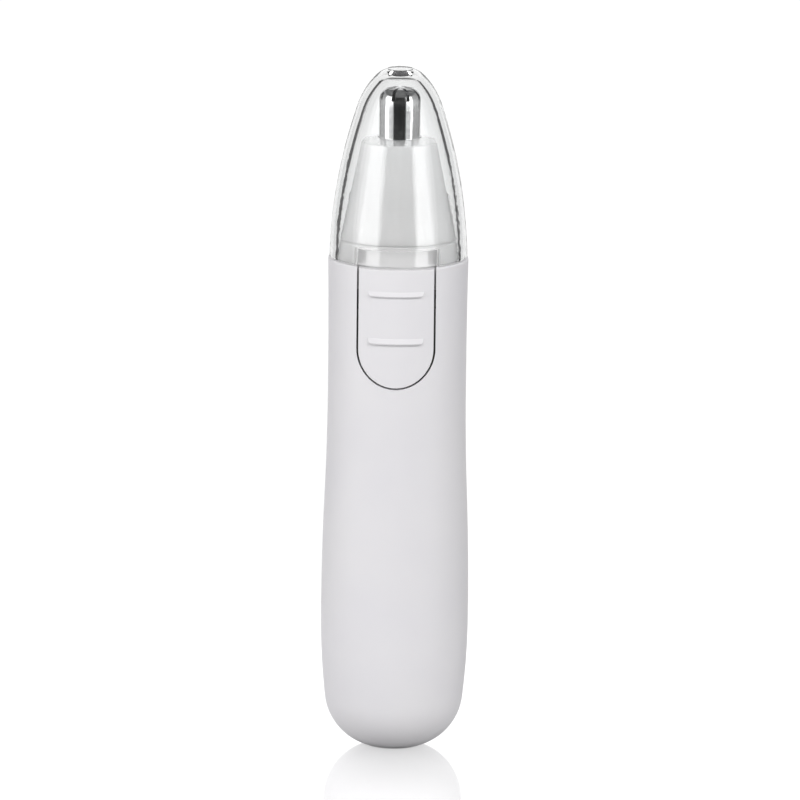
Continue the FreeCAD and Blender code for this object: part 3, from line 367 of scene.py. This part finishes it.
def floor_material():
    """White acrylic that glows as if lit from below and mirrors a little, with a painted contact
    shadow in its glow under the foot.
    """
    material, tree, shader = new_material("floor")
    tree.nodes.remove(shader)
    vector = place_coords(tree)
    glow = tree.nodes.new("ShaderNodeEmission")
    cloud = spread(tree, noise(tree, vector, 3), 0, 1)
    tint = colours(tree, cloud, (0.99, 0.99, 1.0), (1.0, 1.0, 1.0))
    tree.links.new(tint, glow.inputs["Color"])
    tree.links.new(floor_glow(tree, vector), glow.inputs["Strength"])
    gloss = tree.nodes.new("ShaderNodeBsdfGlossy")
    gloss.inputs["Color"].default_value = (FLOOR_GLOSS,) * 3 + (1,)
    polish = spread(tree, noise(tree, vector, 40), 0.04, 0.07)
    tree.links.new(polish, gloss.inputs["Roughness"])
    both = tree.nodes.new("ShaderNodeAddShader")
    tree.links.new(glow.outputs["Emission"], both.inputs[0])
    tree.links.new(gloss.outputs["BSDF"], both.inputs[1])
    tree.links.new(both.outputs["Shader"], tree.nodes["Material Output"].inputs["Surface"])
    return material


def make_floor():
    """A round table top."""
    bm = bmesh.new()
    bmesh.ops.create_circle(bm, cap_ends=True, segments=FLOOR_SIDES, radius=FLOOR_RADIUS * MM)
    mesh = bpy.data.meshes.new("floor")
    bm.to_mesh(mesh)
    bm.free()
    mesh.materials.append(floor_material())
    floor = bpy.data.objects.new("floor", mesh)
    bpy.context.scene.collection.objects.link(floor)


# Brightness of the studio as points (azimuth, brightness), with azimuths in degrees to the
# right of the camera. Soft boxes stand left and right of the camera with a dark gap
# between them, the backdrop is white, and dark flags stand between it and the boxes.
OVERHEAD = [
    (-180, 0.2),
    (180, 0.2),
]
ABOVE_TABLE = [
    (-180, 1.0),
    (-142, 0.8),
    (-140, 0.02),
    (-131, 0.02),
    (-129, 0.45),
    (-84, 0.6),
    (-80, 2.15),
    (-36, 2.15),
    (-33, 0.015),
    (33, 0.015),
    (36, 2.4),
    (70, 2.4),
    (74, 0.7),
    (120, 0.4),
    (129, 0.3),
    (131, 0.02),
    (140, 0.02),
    (142, 0.8),
    (180, 1.0),
]
BELOW_TABLE = [
    (-180, 1.05),
    (-142, 0.8),
    (-140, 0.1),
    (-131, 0.1),
    (-129, 0.25),
    (-90, 0.25),
    (-80, 3.0),
    (-68, 3.0),
    (-58, 0.8),
    (-42, 0.35),
    (-33, 0.35),
    (-30, 0.004),
    (30, 0.004),
    (33, 0.3),
    (60, 0.25),
    (63, 3.0),
    (70, 3.0),
    (75, 0.04),
    (129, 0.04),
    (131, 0.1),
    (140, 0.1),
    (142, 0.8),
    (180, 1.05),
]
HORIZON = (-0.185, -0.14)  # where BELOW_TABLE turns into ABOVE_TABLE, as Z of a ray's direction
EAVES = (0.56, 0.66)  # and where ABOVE_TABLE turns into OVERHEAD
STUDIO_PEAK = 5.0  # the ramps hold brightness as a share of this
BACKDROP = 1.05  # the brightness that the camera sees behind the object
KEY_PLACE = (0.035, -0.28, 0.32)  # the lamp's place and size, in metres
KEY_SIZE = (0.25, 0.15)
KEY_AIM = 90.0  # the height that it points at
KEY_POWER = 0.87  # in watts


def studio_ring(tree, place, levels):
    """The brightness all round the object, read from a list of azimuths."""
    ramp = tree.nodes.new("ShaderNodeValToRGB")
    stops = ramp.color_ramp.elements
    while len(stops) < len(levels):
        stops.new(1.0)
    for stop, (azimuth, level) in zip(stops, levels):
        stop.position = (azimuth + 180) / 360
        stop.color = (level / STUDIO_PEAK,) * 3 + (1,)
    tree.links.new(place, ramp.inputs["Fac"])
    return ramp.outputs["Color"]


def make_world():
    """A white backdrop for the camera, and soft boxes with dark gaps for gloss and glass."""
    world = bpy.data.worlds.new("studio")
    bpy.context.scene.world = world
    world.use_nodes = True
    tree = world.node_tree
    coords = tree.nodes.new("ShaderNodeTexCoord")
    split = tree.nodes.new("ShaderNodeSeparateXYZ")
    tree.links.new(coords.outputs["Generated"], split.inputs["Vector"])
    toward = maths(tree, "MULTIPLY", split.outputs["Y"], -1)
    angle = maths(tree, "ARCTAN2", split.outputs["X"], toward)
    place = map_value(tree, angle, -math.pi, math.pi)
    light = studio_ring(tree, place, BELOW_TABLE)
    for heights, levels in ((HORIZON, ABOVE_TABLE), (EAVES, OVERHEAD)):
        mix = tree.nodes.new("ShaderNodeMix")
        mix.data_type = "RGBA"
        tree.links.new(map_value(tree, split.outputs["Z"], *heights), mix.inputs["Factor"])
        tree.links.new(light, mix.inputs[MIX_FIRST])
        tree.links.new(studio_ring(tree, place, levels), mix.inputs[MIX_SECOND])
        light = mix.outputs[MIX_RESULT]
    around = tree.nodes["Background"]
    around.inputs["Strength"].default_value = STUDIO_PEAK
    tree.links.new(light, around.inputs["Color"])
    backdrop = tree.nodes.new("ShaderNodeBackground")
    backdrop.inputs["Color"].default_value = (1, 1, 1, 1)
    backdrop.inputs["Strength"].default_value = BACKDROP
    path = tree.nodes.new("ShaderNodeLightPath")
    choose = tree.nodes.new("ShaderNodeMixShader")
    tree.links.new(path.outputs["Is Camera Ray"], choose.inputs["Fac"])
    tree.links.new(around.outputs["Background"], choose.inputs[1])
    tree.links.new(backdrop.outputs["Background"], choose.inputs[2])
    tree.links.new(choose.outputs["Shader"], tree.nodes["World Output"].inputs["Surface"])


def make_key_light():
    """A soft box above and in front, near enough to light the top more than the foot."""
    light = bpy.data.lights.new("key", "AREA")
    light.shape = "RECTANGLE"
    light.size = KEY_SIZE[0]
    light.size_y = KEY_SIZE[1]
    light.energy = KEY_POWER
    lamp = bpy.data.objects.new("key", light)
    bpy.context.scene.collection.objects.link(lamp)
    lamp.location = KEY_PLACE
    aim = Vector((0, 0, KEY_AIM * MM)) - lamp.location
    lamp.rotation_euler = aim.to_track_quat("-Z", "Y").to_euler()
    lamp.visible_glossy = False
    lamp.visible_transmission = False


def make_camera():
    """A very long lens at the height and angle of a product shot."""
    data = bpy.data.cameras.new("camera")
    data.lens = LENS
    data.sensor_width = SENSOR
    camera = bpy.data.objects.new("camera", data)
    bpy.context.scene.collection.objects.link(camera)
    bpy.context.scene.camera = camera
    turn = math.radians(VIEW_TURN)
    rise = math.radians(VIEW_ELEVATION)
    target = Vector((VIEW_SIDE * MM, 0, VIEW_HEIGHT * MM))
    level = math.cos(rise)
    back = Vector((math.sin(turn) * level, -math.cos(turn) * level, math.sin(rise)))
    camera.location = target + back * VIEW_WIDTH * MM * LENS / SENSOR
    camera.rotation_euler = (-back).to_track_quat("-Z", "Y").to_euler()
    camera.rotation_euler.rotate_axis("Z", math.radians(VIEW_ROLL))
    data.clip_start = CLIP[0]
    data.clip_end = CLIP[1]


dress_cad_nodes()
make_floor()
make_world()
make_key_light()
make_camera()
bpy.context.scene.view_settings.view_transform = "Standard"
